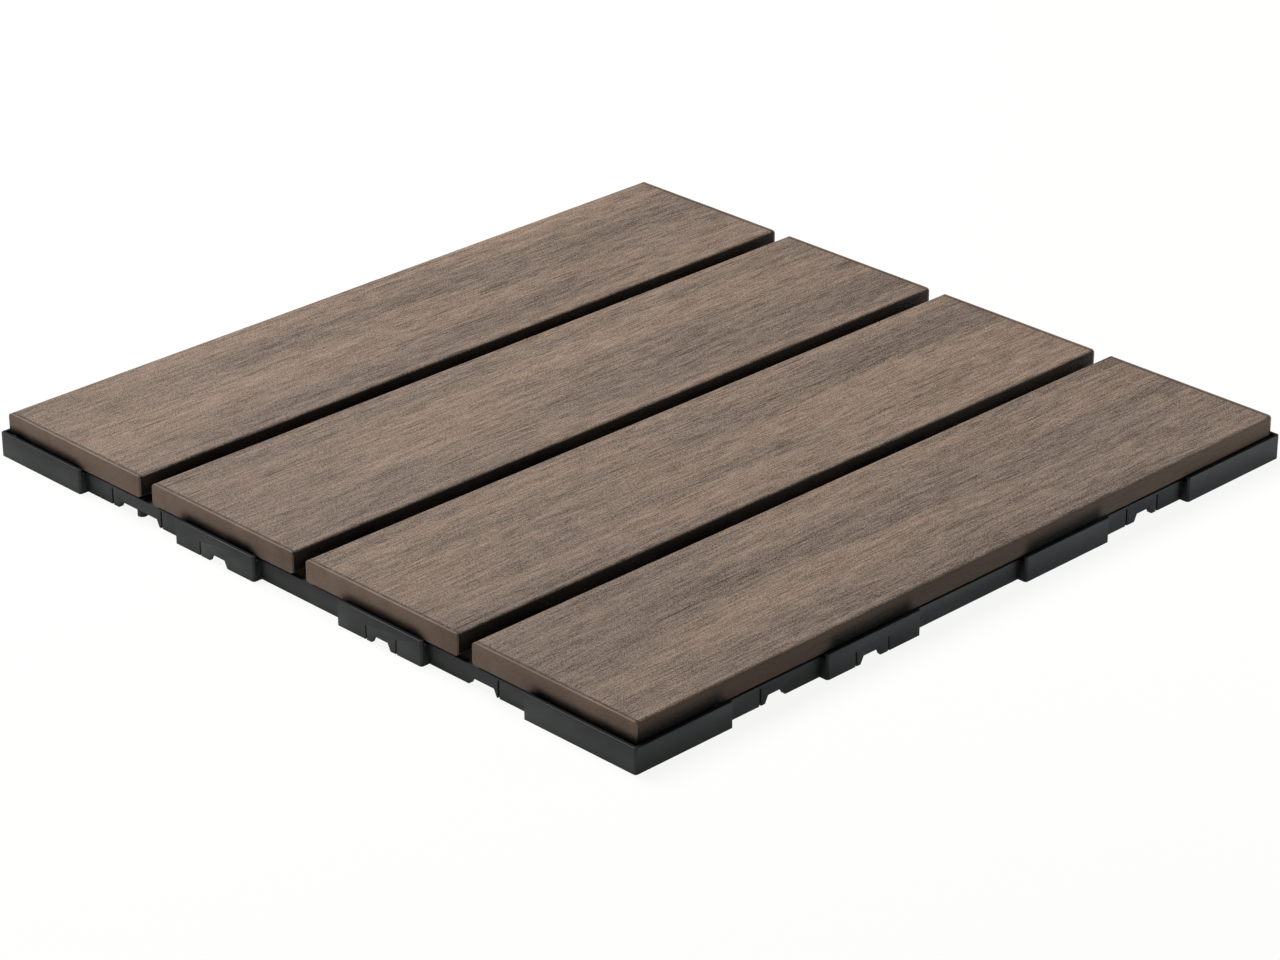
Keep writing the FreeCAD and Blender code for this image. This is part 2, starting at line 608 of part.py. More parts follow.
# Boards: a rounded section, the ends bevelled along the top, blind holes for the screws
BOARD_HALF = "(Sizes.slat_width / 2)"
HEAD_EDGE = "(Sizes.head_diameter / 2)"
SHANK_EDGE = "(Sizes.shank_diameter / 2)"
PILOT_HOLE = "(Sizes.shank_diameter + 2 * Sizes.pilot_clearance)"
PILOT_DEPTH = f"({SCREW_TIP} - Sizes.seat_height + Sizes.pilot_spare)"
pieces = [base_grid]
for number in range(1, BOARD_COUNT + 1):
    board = new_body(f"slat_{number}")
    section = new_sketch(board, f"slat_{number}_section", plane="XZ_Plane")
    rectangle(section, minus(BOARD_HALF), BOARD_HALF, "0", size("slat_thickness"))
    blank = board.newObject("PartDesign::Pad", f"slat_{number}_blank")
    blank.Profile = section
    blank.SideType = "Symmetric"
    blank.setExpression("Length", SLAT_LENGTH)
    finish(board, blank)
    top = value_of(size("slat_thickness"))
    board_half = value_of(BOARD_HALF)
    long_top = edges_where(blank.Shape, lambda p, edge: near(p.z, top) and runs_along(edge, "y"))
    rounded = dressed(
        board, "Fillet", f"slat_{number}_top_edges", blank, long_top, "Radius", size("slat_edge_round")
    )
    long_under = edges_where(
        rounded.Shape, lambda p, edge: near(p.z, 0) and near(abs(p.x), board_half) and runs_along(edge, "y")
    )
    rounded = dressed(
        board, "Fillet", f"slat_{number}_under_edges", rounded, long_under, "Radius", size("slat_under_round")
    )
    end = value_of(SLAT_LENGTH) / 2
    end_top = edges_where(
        rounded.Shape,
        lambda p, edge: near(abs(p.y), end) and near(p.z, top) and runs_along(edge, "x"),
    )
    dressed(board, "Chamfer", f"slat_{number}_end_bevels", rounded, end_top, "Size", size("slat_end_bevel"))
    plan = new_sketch(board, f"slat_{number}_pilot_plan")
    for row in (minus(SCREW_ROW), SCREW_ROW):
        circle(plan, "0", row, PILOT_HOLE)
    pocket(board, f"slat_{number}_pilot_holes", plan, PILOT_DEPTH, upward=True)
    board_place = f"({number} - ({BOARD_COUNT} + 1) / 2) * {SLAT_PITCH}"
    board.setExpression("Placement.Base.x", board_place)
    board.setExpression("Placement.Base.z", size("seat_height"))
    pieces.append(board)

    # The board's two screws: a flat head under the boss, a blunt shank in the board
    screws = new_body(f"slat_{number}_screws")
    profile = new_sketch(screws, f"slat_{number}_screw_profile", plane="XZ_Plane", offset=SCREW_ROW)
    turning_line(profile, "0")
    outline(profile, [
        ("0", HEAD_FACE),
        (HEAD_EDGE, HEAD_FACE),
        (HEAD_EDGE, HEAD_TOP),
        (SHANK_EDGE, HEAD_TOP),
        (SHANK_EDGE, SCREW_TIP),
        ("0", SCREW_TIP),
    ])
    screw = revolved(screws, f"slat_{number}_screw", profile)
    row_of(screws, f"slat_{number}_screw_row", [screw], "Y_Axis", f"2 * {SCREW_ROW}", "2")
    screws.setExpression("Placement.Base.x", board_place)
    pieces.append(screws)

doc.recompute()

# Every object and every piece is sound before anything is written
for thing in doc.Objects:
    if "Invalid" in thing.State or "Error" in thing.State:
        raise RuntimeError(f"{thing.Name} failed: {thing.State}")
for piece in pieces:
    if piece.Shape.isNull() or not piece.Shape.isValid():
        raise RuntimeError(f"{piece.Label} has no sound shape")
for piece in pieces:
    piece.Shape.exportStep(f"parts/{piece.Label}.step")
    print(piece.Label, len(piece.Shape.Solids), "solids,", round(piece.Shape.Volume), "mm3")
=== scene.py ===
"""Looks of an interlocking deck tile: embossed composite boards on a black moulded base grid."""

import logging
import math
from dataclasses import dataclass, field
from enum import Enum

import bmesh
import bpy
from mathutils import Matrix, Vector


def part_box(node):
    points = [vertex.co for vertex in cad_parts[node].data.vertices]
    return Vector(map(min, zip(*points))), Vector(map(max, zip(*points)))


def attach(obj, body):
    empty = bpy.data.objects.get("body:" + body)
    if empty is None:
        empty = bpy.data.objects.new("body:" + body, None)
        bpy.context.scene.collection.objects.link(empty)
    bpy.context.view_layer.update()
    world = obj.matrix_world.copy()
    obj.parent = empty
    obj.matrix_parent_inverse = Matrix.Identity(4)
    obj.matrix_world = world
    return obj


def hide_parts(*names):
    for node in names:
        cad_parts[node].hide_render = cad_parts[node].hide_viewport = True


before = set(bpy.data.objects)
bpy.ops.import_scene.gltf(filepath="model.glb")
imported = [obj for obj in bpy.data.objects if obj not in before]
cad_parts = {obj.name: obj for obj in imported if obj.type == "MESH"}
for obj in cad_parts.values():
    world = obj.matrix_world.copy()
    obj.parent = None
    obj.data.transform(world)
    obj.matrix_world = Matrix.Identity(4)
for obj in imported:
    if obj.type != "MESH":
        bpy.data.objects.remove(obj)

logging.basicConfig(level=logging.INFO, format="%(message)s")
log = logging.getLogger("deck_tile")

Colour = tuple[float, float, float]
Ranges = tuple[tuple[float, float], ...]
Material = bpy.types.Material
Node = bpy.types.Node
Piece = bpy.types.Object
Socket = bpy.types.NodeSocket

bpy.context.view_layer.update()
BOARD_COUNT = 4

# Points and heights that differ by less than these many metres are the same.
SAME_POINT = 1e-6
SAME_LEVEL = 1e-5

# A face looks up when the Z of its normal is above this.
LEAST_UPWARD = 0.9


class Slot(Enum):
    """The record's material slots."""

    BOARD = "composite_board"
    BASE = "base_plastic"
    SCREW = "screw_steel"


class Face(Enum):
    """A board's level faces, by their direction along Z."""

    TOP = 1
    UNDER = -1


class Part(Enum):
    """What is selected of an open mesh."""

    EDGE = "EDGE"
    FACE = "FACE"


class Blend(Enum):
    """How two colours are mixed."""

    MIX = "MIX"
    MULTIPLY = "MULTIPLY"


@dataclass(frozen=True)
class Ramp:
    """A smooth change between two values while another value goes from low to high."""

    low: float
    high: float
    start: float = 0.0
    end: float = 1.0


class NodeSheet:
    """Adds nodes to one node tree and joins their sockets."""

    def __init__(self, tree: bpy.types.NodeTree) -> None:
        """Keep a node tree and clear it."""
        self.tree = tree
        self.tree.nodes.clear()

    def add(self, kind: str, **settings: object) -> Node:
        """Add a node and set its own properties.

        Args:
            kind: Blender's name of the node type.
            settings: Properties of the node, by name.

        Returns:
            The new node.
        """
        node = self.tree.nodes.new(kind)
        for name, value in settings.items():
            setattr(node, name, value)
        return node

    def join(self, source: Socket, target: Socket) -> None:
        """Link an output socket to an input socket."""
        self.tree.links.new(source, target)

    def feed(self, socket: Socket, value: object) -> None:
        """Link a socket to another one, or set its value.

        Args:
            socket: Input socket.
            value: An output socket, or a plain value.
        """
        if isinstance(value, Socket):
            self.join(value, socket)
        else:
            socket.default_value = value

    def math(self, operation: str, first: object, second: object = 0.0) -> Socket:
        """Work out one sum.

        Args:
            operation: Name of the operation.
            first: First value or socket.
            second: Second value or socket.

        Returns:
            The result's socket.
        """
        node = self.add("ShaderNodeMath", operation=operation)
        self.feed(node.inputs[0], first)
        self.feed(node.inputs[1], second)
        return node.outputs[0]

    def unsigned(self, value: Socket) -> Socket:
        """Give a value without its sign."""
        return self.math("ABSOLUTE", value)

    def mean(self, first: Socket, second: Socket) -> Socket:
        """Give the average of two values."""
        return self.math("MULTIPLY", self.math("ADD", first, second), 0.5)

    def ramp(self, value: Socket, change: Ramp) -> Socket:
        """Map a value through a smooth change.

        Args:
            value: Socket to map.
            change: The change, level outside its range.

        Returns:
            The mapped value's socket.
        """
        node = self.add("ShaderNodeMapRange", interpolation_type="SMOOTHSTEP")
        numbers = (value, change.low, change.high, change.start, change.end)
        for socket, number in zip(node.inputs, numbers):
            self.feed(socket, number)
        return node.outputs[0]

    def band(self, value: Socket, low: float, high: float, soft: float) -> Socket:
        """Pick out the values between two limits.

        Args:
            value: Socket to look at.
            low: Lower limit.
            high: Upper limit.
            soft: Width of the change at each limit.

        Returns:
            A mask's socket, 1 between the limits.
        """
        above = self.ramp(value, Ramp(low - soft, low))
        below = self.ramp(value, Ramp(high, high + soft, 1.0, 0.0))
        return self.math("MULTIPLY", above, below)

    def stretches(self, value: Socket, limits: Ranges, soft: float) -> Socket:
        """Pick out the values that lie in any of several ranges.

        Args:
            value: Socket to look at.
            limits: Lower and upper limit of each range.
            soft: Width of the change at each limit.

        Returns:
            A mask's socket, 1 inside the ranges.
        """
        mask = self.band(value, *limits[0], soft)
        for low, high in limits[1:]:
            mask = self.math("MAXIMUM", mask, self.band(value, low, high, soft))
        return mask

    def split(self, vector: Socket) -> tuple[Socket, Socket, Socket]:
        """Split a vector into its X, Y and Z.

        Args:
            vector: The vector's socket.

        Returns:
            One socket for each axis.
        """
        node = self.add("ShaderNodeSeparateXYZ")
        self.join(vector, node.inputs[0])
        return tuple(node.outputs)

    def facing(self) -> tuple[Socket, Socket, Socket]:
        """Give the X, Y and Z of the surface's direction."""
        return self.split(self.add("ShaderNodeNewGeometry").outputs["Normal"])

    def mix(self, factor: object, first: object, second: object, blend: Blend = Blend.MIX) -> Socket:
        """Mix two colours.

        Args:
            factor: How much of the second colour is used.
            first: First colour or socket.
            second: Second colour or socket.
            blend: How they are mixed.

        Returns:
            The mixed colour's socket.
        """
        node = self.add("ShaderNodeMix", data_type="RGBA", blend_type=blend.value)
        self.feed(node.inputs[0], factor)
        for socket, colour in ((node.inputs[6], first), (node.inputs[7], second)):
            self.feed(socket, (*colour, 1.0) if isinstance(colour, tuple) else colour)
        return node.outputs[2]

    def tint(self, colour: object, factor: Socket) -> Socket:
        """Make a colour darker or brighter.

        Args:
            colour: Colour or socket.
            factor: Socket of the number that the colour is multiplied by.

        Returns:
            The new colour's socket.
        """
        tone = self.add("ShaderNodeCombineColor")
        for socket in tone.inputs[:3]:
            self.join(factor, socket)
        return self.mix(1.0, colour, tone.outputs[0], Blend.MULTIPLY)

    def stretch(self, vector: Socket, scale: tuple[float, float, float]) -> Socket:
        """Stretch coordinates.

        Args:
            vector: Coordinates' socket.
            scale: Stretch along X, Y and Z.

        Returns:
            The stretched coordinates' socket.
        """
        node = self.add("ShaderNodeMapping", vector_type="POINT")
        self.join(vector, node.inputs["Vector"])
        node.inputs["Scale"].default_value = scale
        return node.outputs[0]

    def noise(self, vector: Socket, scale: object, detail: float, roughness: float) -> Socket:
        """Add a noise texture.

        Args:
            vector: Coordinates' socket.
            scale: Number or socket, larger for a finer pattern.
            detail: Number of finer layers.
            roughness: Strength of the finer layers.

        Returns:
            The pattern's socket.
        """
        node = self.add("ShaderNodeTexNoise")
        self.join(vector, node.inputs["Vector"])
        for label, value in (("Scale", scale), ("Detail", detail), ("Roughness", roughness)):
            self.feed(node.inputs[label], value)
        return node.outputs["Fac"]

    def emboss(self, shader: Node, height: Socket, strength: float, depth: float) -> None:
        """Give a shader a relief.

        Args:
            shader: The shader.
            height: Socket of the pattern that stands out.
            strength: Share of the relief that shows.
            depth: Depth of the pattern, in metres.
        """
        bump = self.add("ShaderNodeBump")
        bump.inputs["Strength"].default_value = strength
        bump.inputs["Distance"].default_value = depth
        self.join(height, bump.inputs["Height"])
        self.join(bump.outputs[0], shader.inputs["Normal"])


class EffectGroup:
    """A shared effect: a node group with named inputs and outputs."""

    def __init__(self, name: str, inputs: dict[str, object], outputs: tuple[str, ...]) -> None:
        """Make the group's sockets.

        Args:
            name: The group's name.
            inputs: Default value of each input, a number or a vector.
            outputs: Names of the value outputs.
        """
        self.tree = bpy.data.node_groups.new(name, "ShaderNodeTree")
        for label, value in inputs.items():
            kind = "NodeSocketVector" if isinstance(value, tuple) else "NodeSocketFloat"
            socket = self.tree.interface.new_socket(label, in_out="INPUT", socket_type=kind)
            socket.default_value = value
        for label in outputs:
            self.tree.interface.new_socket(label, in_out="OUTPUT", socket_type="NodeSocketFloat")
        self.sheet = NodeSheet(self.tree)
        self.source = self.sheet.add("NodeGroupInput")
        self.result = self.sheet.add("NodeGroupOutput")

    def use(self, sheet: NodeSheet, values: dict[str, object]) -> tuple[Socket, ...]:
        """Place the group in a material.

        Args:
            sheet: The material's sheet.
            values: A value or socket for each input, by name.

        Returns:
            The group's outputs in that material.
        """
        node = sheet.add("ShaderNodeGroup", node_tree=self.tree)
        for label, value in values.items():
            sheet.feed(node.inputs[label], value)
        return tuple(node.outputs)


def fibre_group() -> EffectGroup:
    """Build the long streaks of the boards' grain.

    Returns:
        A group whose streaks run along Y, finer across than along.
    """
    inputs = {"Place": (0.0, 0.0, 0.0), "Across": 300.0, "Along": 20.0, "Wander": 0.3}
    drift_scale, drift_detail, drift_roughness = (18.0, 9.0, 18.0), 2.0, 0.5
    streak_detail, streak_roughness = 4.0, 0.55
    group = EffectGroup("fibres", inputs, ("Streak",))
    sheet, source = group.sheet, group.source.outputs
    drift = sheet.noise(sheet.stretch(source["Place"], drift_scale), 1.0, drift_detail, drift_roughness)
    sway = sheet.math("MULTIPLY", sheet.math("SUBTRACT", drift, 0.5), source["Wander"])
    across, along, up = sheet.split(source["Place"])
    spread = sheet.add("ShaderNodeCombineXYZ")
    sheet.join(sheet.math("ADD", sheet.math("MULTIPLY", across, source["Across"]), sway), spread.inputs[0])
    sheet.join(sheet.math("MULTIPLY", along, source["Along"]), spread.inputs[1])
    sheet.join(sheet.math("MULTIPLY", up, source["Across"]), spread.inputs[2])
    streak = sheet.noise(spread.outputs[0], 1.0, streak_detail, streak_roughness)
    sheet.join(streak, group.result.inputs["Streak"])
    return group


def mottle_group() -> EffectGroup:
    """Build the soft cloudy unevenness that every finish has a little of.

    Returns:
        A group with a broad and a fine output.
    """
    inputs = {"Place": (0.0, 0.0, 0.0), "Broad Scale": 40.0, "Fine Scale": 900.0}
    detail, roughness = 3.0, 0.55
    group = EffectGroup("mottle", inputs, ("Broad", "Fine"))
    sheet, source = group.sheet, group.source.outputs
    for label in ("Broad", "Fine"):
        cloud = sheet.noise(source["Place"], source[f"{label} Scale"], detail, roughness)
        sheet.join(cloud, group.result.inputs[label])
    return group


FIBRES = fibre_group()
MOTTLE = mottle_group()


@dataclass(frozen=True)
class Fibres:
    """One layer of the grain: how fine it is across and along, and how far it wanders."""

    across: float
    along: float
    wander: float

    def lay(self, sheet: NodeSheet, place: Socket) -> Socket:
        """Give the layer's streaks at a place in a material."""
        values = {"Place": place, "Across": self.across, "Along": self.along, "Wander": self.wander}
        return FIBRES.use(sheet, values)[0]


@dataclass(frozen=True)
class Clouds:
    """The two scales of a finish's unevenness."""

    broad: float
    fine: float

    def lay(self, sheet: NodeSheet, place: Socket) -> tuple[Socket, ...]:
        """Give the broad and the fine unevenness at a place in a material."""
        return MOTTLE.use(sheet, {"Place": place, "Broad Scale": self.broad, "Fine Scale": self.fine})


def start_material(slot: Slot) -> tuple[Material, NodeSheet, Node, Socket]:
    """Start a material with one shader.

    Args:
        slot: The record's material slot, whose name it takes.

    Returns:
        The material, its sheet, its shader and its Object coordinates.
    """
    material = bpy.data.materials.new(slot.value)
    material.use_nodes = True
    sheet = NodeSheet(material.node_tree)
    out = sheet.add("ShaderNodeOutputMaterial")
    shader = sheet.add("ShaderNodeBsdfPrincipled")
    sheet.join(shader.outputs[0], out.inputs["Surface"])
    place = sheet.add("ShaderNodeTexCoord").outputs["Object"]
    return material, sheet, shader, place


@dataclass(frozen=True)
class BoardLayers:
    """Sockets that the boards' colours and relief are made from."""

    across: Socket
    along: Socket
    height: Socket
    bands: Socket
    streaks: Socket
    threads: Socket
    dashes: Socket
    broad: Socket
    fine: Socket
    uneven: Socket


@dataclass(frozen=True)
class BoardFinish:
    """Embossed composite: soft grey and brown bands, fine hairlines, plain sawn ends.

    The faces that look sideways have a brown darkened as painted shade, with deeper painted shade between
    the boards and low down where a block of the base stands in front of them; the bevel round each end is a
    little lighter as a painted highlight. Lengths are in metres.
    """

    warm: Colour = (0.199, 0.141, 0.105)
    grey: Colour = (0.166, 0.127, 0.103)
    dark: Colour = (0.040, 0.031, 0.026)
    sawn: Colour = (0.186, 0.129, 0.095)
    # Painted shade: the long sides' smooth brown is far darker than the top.
    side: Colour = (0.081, 0.055, 0.040)
    # Painted highlight: the end bevel is a little lighter than the speckled cut.
    rim: Colour = (0.175, 0.130, 0.102)

    bands: Fibres = Fibres(52.0, 4.6, 0.6)
    streaks: Fibres = Fibres(480.0, 22.0, 1.6)
    threads: Fibres = Fibres(1500.0, 110.0, 3.0)
    dashes: Fibres = Fibres(1300.0, 38.0, 4.0)
    clouds: Clouds = Clouds(22.0, 2400.0)

    grey_to_warm: Ramp = Ramp(0.28, 0.72)
    band_tone: Ramp = Ramp(0.32, 0.66, 0.87, 1.10)
    fine_range: tuple[float, float] = (0.36, 0.64)
    streak_depth: float = 0.11
    thread_depth: float = 0.22
    speck_depth: float = 0.48
    dash_cover: Ramp = Ramp(0.62, 0.68, 0.0, 0.6)
    cut_tone: Ramp = Ramp(0.35, 0.65, 0.86, 1.14)
    end_specks: Ramp = Ramp(0.3, 0.7, 0.0, 0.25)

    sharp: float = 0.0001
    # A thin dark line along the top just inside each end bevel, stronger in some places than in others.
    seam_width: float = 0.0008
    seam_strength: Ramp = Ramp(0.35, 0.6, 0.35, 0.8)
    side_turn: Ramp = Ramp(0.6, 0.98, 0.0, 0.95)
    # Painted shade: the long sides between the boards are darkened to this share, those at the tile's edge
    # are not.
    painted_shade_between_boards: Ramp = Ramp(0.140, 0.141, 0.35, 1.0)

    # Stretches with a block in front, and the painted shade low down on the faces there.
    front_blocks: Ranges = ((-0.15, -0.113), (-0.053, -0.025), (0.025, 0.053), (0.108, 0.15))
    side_blocks: Ranges = ((-0.15, -0.115), (-0.064, -0.033), (0.026, 0.057))
    front_painted_shade: Ramp = Ramp(0.0094, 0.0122, 0.85, 0.0)
    side_painted_shade: Ramp = Ramp(0.0098, 0.0150, 0.93, 0.0)
    painted_shade_soft: float = 0.005

    roughness: Ramp = Ramp(0.3, 0.7, 0.62, 0.82)
    specular: float = 0.15
    relief: float = 0.6
    relief_depth: float = 0.0004
    streak_relief: float = 0.4
    end_relief: Ramp = Ramp(0.0, 1.0, 1.0, 0.1)

    def layers(self, sheet: NodeSheet, place: Socket) -> BoardLayers:
        """Lay the patterns of the boards.

        Args:
            sheet: The material's sheet.
            place: Its Object coordinates.

        Returns:
            The patterns' sockets.
        """
        across, along, height = sheet.split(place)
        bands = self.bands.lay(sheet, place)
        broad, fine = self.clouds.lay(sheet, place)
        return BoardLayers(
            across=across,
            along=along,
            height=height,
            bands=bands,
            streaks=self.streaks.lay(sheet, place),
            threads=self.threads.lay(sheet, place),
            dashes=sheet.ramp(self.dashes.lay(sheet, place), self.dash_cover),
            broad=broad,
            fine=fine,
            uneven=sheet.ramp(bands, self.cut_tone),
        )

    def embossed_tone(self, sheet: NodeSheet, layers: BoardLayers) -> Socket:
        """Colour the embossed grain: grey and warm bands, lighter and darker fibres, dark dashes.

        Args:
            sheet: The material's sheet.
            layers: The patterns' sockets.

        Returns:
            The colour's socket.
        """
        blend = sheet.mean(layers.bands, sheet.mean(layers.bands, layers.broad))
        grain = sheet.mix(sheet.ramp(blend, self.grey_to_warm), self.grey, self.warm)
        fibres = ((layers.streaks, self.streak_depth), (layers.threads, self.thread_depth))
        tone = sheet.ramp(layers.bands, self.band_tone)
        for value, depth in (*fibres, (layers.fine, self.speck_depth)):
            tone = sheet.math("ADD", tone, sheet.ramp(value, Ramp(*self.fine_range, -depth, depth)))
        return sheet.mix(layers.dashes, sheet.tint(grain, tone), self.dark)

    def tone_with_painted_shade(
        self, sheet: NodeSheet, layers: BoardLayers, place: Socket, blocks: Ranges, shade: Ramp
    ) -> Socket:
        """Work out how bright a face is that looks sideways: its random unevenness, less a painted shade
        low down behind the blocks.

        Args:
            sheet: The material's sheet.
            layers: The patterns' sockets.
            place: Place along the face.
            blocks: Stretches of the face that have a block in front of them.
            shade: Depth of the painted shade by height there.

        Returns:
            The brightness's socket, painted shade included.
        """
        behind = sheet.stretches(place, blocks, self.painted_shade_soft)
        # Painted shade: darker low down where a block stands in front.
        dark = sheet.math("MULTIPLY", sheet.ramp(layers.height, shade), behind)
        return sheet.math("SUBTRACT", layers.uneven, dark)

    def side_tone(self, sheet: NodeSheet, layers: BoardLayers) -> Socket:
        """Colour the long sides: a brown darkened as painted shade, with deeper painted shade in the gaps
        between the boards and low down behind the blocks.

        Args:
            sheet: The material's sheet.
            layers: The patterns' sockets.

        Returns:
            The colour's socket.
        """
        # Painted shade in the gaps between the boards.
        gap_painted_shade = sheet.ramp(sheet.unsigned(layers.across), self.painted_shade_between_boards)
        tone_with_painted_shade = self.tone_with_painted_shade(sheet, layers, layers.along, self.side_blocks, self.side_painted_shade)
        return sheet.tint(self.side, sheet.math("MULTIPLY", gap_painted_shade, tone_with_painted_shade))

    def end_tone(self, sheet: NodeSheet, layers: BoardLayers, inside: Socket, end_bevel: float) -> Socket:
        """Colour the sawn ends, with painted shade low down behind the blocks, and their bevelled rim, a
        little lighter as a painted highlight.

        Args:
            sheet: The material's sheet.
            layers: The patterns' sockets.
            inside: Distance from the bevel's inner edge, towards the middle of the board.
            end_bevel: Width of the bevel.

        Returns:
            The colour's socket.
        """
        cut = sheet.mix(sheet.ramp(layers.fine, self.end_specks), self.sawn, self.dark)
        # The bevel takes the lighter rim colour: a painted highlight.
        on_rim = sheet.band(sheet.unsigned(inside), self.sharp, end_bevel - self.sharp, self.sharp)
        tone_with_painted_shade = self.tone_with_painted_shade(sheet, layers, layers.across, self.front_blocks, self.front_painted_shade)
        return sheet.tint(sheet.mix(on_rim, cut, self.rim), tone_with_painted_shade)

    def material(self, half_length: float, end_bevel: float) -> Material:
        """Build the material.

        Args:
            half_length: Half the length of a board.
            end_bevel: Width of the bevel at its ends.

        Returns:
            The boards' material.
        """
        material, sheet, shader, place = start_material(Slot.BOARD)
        layers = self.layers(sheet, place)
        inside = sheet.math("SUBTRACT", half_length - end_bevel, sheet.unsigned(layers.along))
        # A thin dark line along the top just inside each end bevel.
        at_seam = sheet.band(inside, 0.0, self.seam_width, 2 * self.sharp)
        seam = sheet.math("MULTIPLY", at_seam, sheet.ramp(layers.threads, self.seam_strength))
        top = sheet.mix(seam, self.embossed_tone(sheet, layers), self.dark)
        on_side = sheet.ramp(sheet.unsigned(sheet.facing()[0]), self.side_turn)
        long_faces = sheet.mix(on_side, top, self.side_tone(sheet, layers))
        at_end = sheet.ramp(inside, Ramp(-self.sharp, 0.0, 1.0, 0.0))
        colour = sheet.mix(at_end, long_faces, self.end_tone(sheet, layers, inside, end_bevel))
        sheet.join(colour, shader.inputs["Base Color"])
        sheet.join(sheet.ramp(layers.threads, self.roughness), shader.inputs["Roughness"])
        shader.inputs["Specular IOR Level"].default_value = self.specular
        streaks = sheet.math("MULTIPLY", layers.streaks, self.streak_relief)
        grain = sheet.math("SUBTRACT", sheet.math("ADD", layers.threads, streaks), layers.dashes)
        relief = sheet.math("MULTIPLY", grain, sheet.ramp(at_end, self.end_relief))
        sheet.emboss(shader, relief, self.relief, self.relief_depth)
        return material


@dataclass(frozen=True)
class PlasticFinish:
    """Black moulded plastic: faint spark-eroded texture, rubbed patches, and a rougher top of the blocks
    coloured near black as painted shade.
    """

    body: Colour = (0.0125, 0.014, 0.0155)
    rubbed: Colour = (0.028, 0.030, 0.032)
    # Painted shade: the up-facing tops of the blocks are coloured near black.
    block_top_painted_shade: Colour = (0.0035, 0.0035, 0.0038)
    clouds: Clouds = Clouds(55.0, 2200.0)
    wear: Ramp = Ramp(0.45, 0.7, 0.0, 0.45)
    shelf_height: Ramp = Ramp(0.0081, 0.0083)
    shelf_turn: Ramp = Ramp(0.8, 0.97)
    shelf_roughness: float = 0.95
    polish: Ramp = Ramp(0.3, 0.7, 0.46, 0.60)
    specular: float = 0.38
    relief: float = 0.12
    relief_depth: float = 0.0002

    def material(self) -> Material:
        """Build the material.

        Returns:
            The base's material.
        """
        material, sheet, shader, place = start_material(Slot.BASE)
        broad, fine = self.clouds.lay(sheet, place)
        # The up-facing tops of the blocks: rough, and near black as painted shade.
        high_up = sheet.ramp(sheet.split(place)[2], self.shelf_height)
        on_shelf = sheet.math("MULTIPLY", high_up, sheet.ramp(sheet.facing()[2], self.shelf_turn))
        colour = sheet.mix(sheet.ramp(broad, self.wear), self.body, self.rubbed)
        sheet.join(sheet.mix(on_shelf, colour, self.block_top_painted_shade), shader.inputs["Base Color"])
        dull = sheet.math("MULTIPLY", on_shelf, self.shelf_roughness)
        polish = sheet.math("MAXIMUM", sheet.ramp(broad, self.polish), dull)
        sheet.join(polish, shader.inputs["Roughness"])
        shader.inputs["Specular IOR Level"].default_value = self.specular
        sheet.emboss(shader, fine, self.relief, self.relief_depth)
        return material


@dataclass(frozen=True)
class SteelFinish:
    """Zinc plated steel with duller patches."""

    plate: Colour = (0.56, 0.56, 0.55)
    dull: Colour = (0.40, 0.39, 0.36)
    clouds: Clouds = Clouds(600.0, 5000.0)
    patches: Ramp = Ramp(0.35, 0.65)
    roughness: Ramp = Ramp(0.3, 0.7, 0.28, 0.42)

    def material(self) -> Material:
        """Build the material.

        Returns:
            The screws' material.
        """
        material, sheet, shader, place = start_material(Slot.SCREW)
        broad, fine = self.clouds.lay(sheet, place)
        colour = sheet.mix(sheet.ramp(broad, self.patches), self.plate, self.dull)
        sheet.join(colour, shader.inputs["Base Color"])
        shader.inputs["Metallic"].default_value = 1.0
        sheet.join(sheet.ramp(fine, self.roughness), shader.inputs["Roughness"])
        return material


def settle(piece: Piece, node: str, material: Material) -> None:
    """Give a finished piece its material, and let it stand for a CAD node.

    Args:
        piece: The finished piece.
        node: Name of the CAD node that it replaces.
        material: The piece's material.
    """
    piece.data.materials.clear()
    piece.data.materials.append(material)
    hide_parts(node)
    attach(piece, "root")


def start_alone(piece: Piece | None = None) -> None:
    """Deselect everything, then select and activate one piece.

    Args:
        piece: The piece to work on, or none.
    """
    bpy.ops.object.select_all(action="DESELECT")
    if piece is not None:
        piece.select_set(True)
        bpy.context.view_layer.objects.active = piece


def open_piece(piece: Piece) -> None:
    """Open a piece in edit mode."""
    start_alone(piece)
    bpy.ops.object.mode_set(mode="EDIT")


def choose(piece: Piece, part: Part) -> bmesh.types.BMesh:
    """Make an open piece ready for a selection, with nothing of it selected yet.

    Args:
        piece: The piece.
        part: What is to be selected.

    Returns:
        Its open mesh.
    """
    bpy.ops.mesh.select_mode(type=part.value)
    bpy.ops.mesh.select_all(action="DESELECT")
    return bmesh.from_edit_mesh(piece.data)


def select_upward(piece: Piece) -> None:
    """Open a piece in edit mode and select its faces that look up.

    Args:
        piece: The piece.
    """
    open_piece(piece)
    shape = choose(piece, Part.FACE)
    for face in shape.faces:
        face.select = face.normal.z > LEAST_UPWARD
    bmesh.update_edit_mesh(piece.data)


def round_selected(piece: Piece, width: float, steps: int) -> None:
    """Round the selected edges of an open piece, and close it.

    Args:
        piece: The piece.
        width: Width of the rounding.
        steps: Number of its segments.
    """
    bmesh.update_edit_mesh(piece.data)
    bpy.ops.mesh.bevel(offset=width, segments=steps, affect="EDGES", profile=0.5, clamp_overlap=True)
    bpy.ops.object.mode_set(mode="OBJECT")


def apply_all(piece: Piece) -> None:
    """Apply a piece's modifiers.

    Args:
        piece: The piece.
    """
    start_alone(piece)
    for name in [modifier.name for modifier in piece.modifiers]:
        bpy.ops.object.modifier_apply(modifier=name)


def apply_place() -> None:
    """Move the selected piece's place, turn and size into its mesh."""
    bpy.ops.object.transform_apply(location=True, rotation=True, scale=True)


def box_of(node: str) -> tuple[Vector, Vector]:
    """Give the lowest and the highest corner of a CAD node."""
    low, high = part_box(node)
    return Vector(low), Vector(high)


